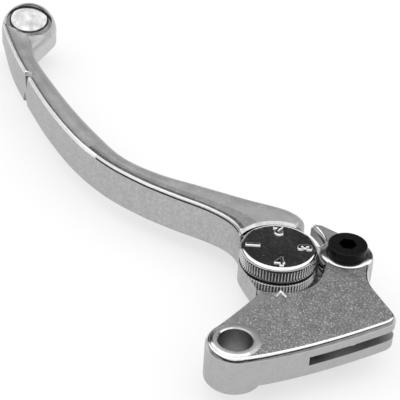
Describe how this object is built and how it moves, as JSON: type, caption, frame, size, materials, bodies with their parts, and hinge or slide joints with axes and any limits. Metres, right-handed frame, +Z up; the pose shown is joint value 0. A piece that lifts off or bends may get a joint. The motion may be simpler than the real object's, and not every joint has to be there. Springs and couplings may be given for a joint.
{
  "type": "clutch lever",
  "caption": "Adjustable cable clutch lever: ball-ended blade, numbered reach dial and a knuckle with pivot boss and cable slot.",
  "frame": {"origin": "on the axis of the pivot bore, at the lower face of the pivot boss", "axes": "-X outboard to the ball end of the blade, +Y forward away from the grip, +Z up along the pivot bore"},
  "size_m": [0.1856, 0.057, 0.0201],
  "materials": {
    "blasted_aluminium": "bead-blasted",
    "polished_aluminium": "satin polished",
    "dial_chrome": "mirror chrome",
    "black_steel": "black oxide",
    "zinc_steel": "zinc plated",
    "bronze": "oiled",
    "spring_steel": "bright wire",
    "nylon": "natural nylon"
  },
  "bodies": {
    "knuckle": {"knuckle": "blasted_aluminium", "pivot_screw": "black_steel", "lock_nut": "zinc_steel", "nut_insert": "nylon", "thrust_washer": "zinc_steel"},
    "blade": {"lever_blade": "polished_aluminium", "pivot_bush": "bronze", "detent_ball": "zinc_steel", "detent_spring": "spring_steel", "return_spring": "spring_steel", "spindle_washer": "zinc_steel", "wave_washer": "spring_steel"},
    "dial": {"adjuster_dial": "dial_chrome", "dial_spindle": "zinc_steel", "reach_cam": "zinc_steel", "spindle_clip": "black_steel"}
  },
  "joints": [
    {"name": "blade_reach", "type": "hinge", "parent": "knuckle", "child": "blade", "pos_m": [-0.022, 0.0405, 0.0055], "axis": [0, 0, 1], "range_deg": [-7.2, 0], "deforming": ["return_spring"]},
    {"name": "dial_turn", "type": "hinge", "parent": "blade", "child": "dial", "pos_m": [-0.029, 0.0248, 0.0055], "axis": [0, 0, 1], "range_deg": [-270, 0]}
  ],
  "couplings": [
    {"joint": "blade_reach", "follows": "dial_turn", "ratio": 0.026667}
  ]
}
